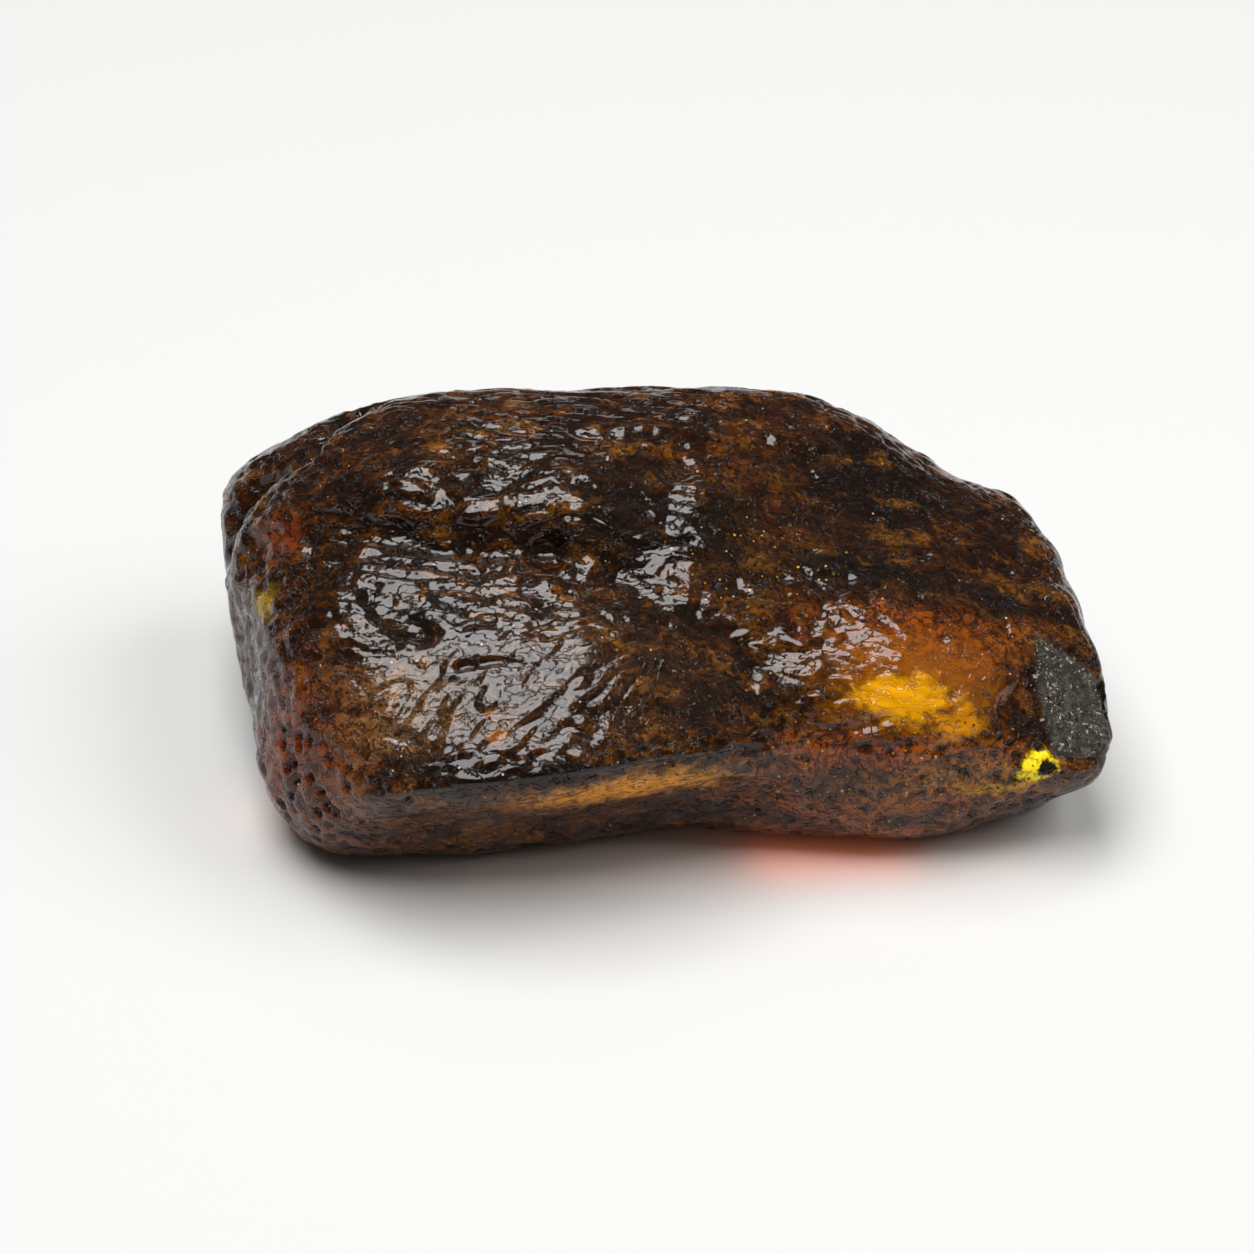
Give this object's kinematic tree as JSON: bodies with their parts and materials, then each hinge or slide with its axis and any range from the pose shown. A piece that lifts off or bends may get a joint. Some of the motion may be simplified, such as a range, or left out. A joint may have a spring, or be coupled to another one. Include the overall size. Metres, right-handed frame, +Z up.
{
  "type": "raw amber piece",
  "caption": "Rough lump of dark fossil resin, long and low, with a folded back, a swollen front and a broken end, lying on a flat underside.",
  "frame": {"origin": "on the resting plane, under the middle of the bounding box", "axes": "+X along the length, towards the broken end with the facet; +Y to the back, away from the swollen face; +Z up"},
  "size_m": [0.05, 0.031, 0.0193],
  "materials": {
    "amber": "gloss"
  },
  "bodies": {
    "root": {"amber_piece": "amber"}
  },
  "joints": []
}
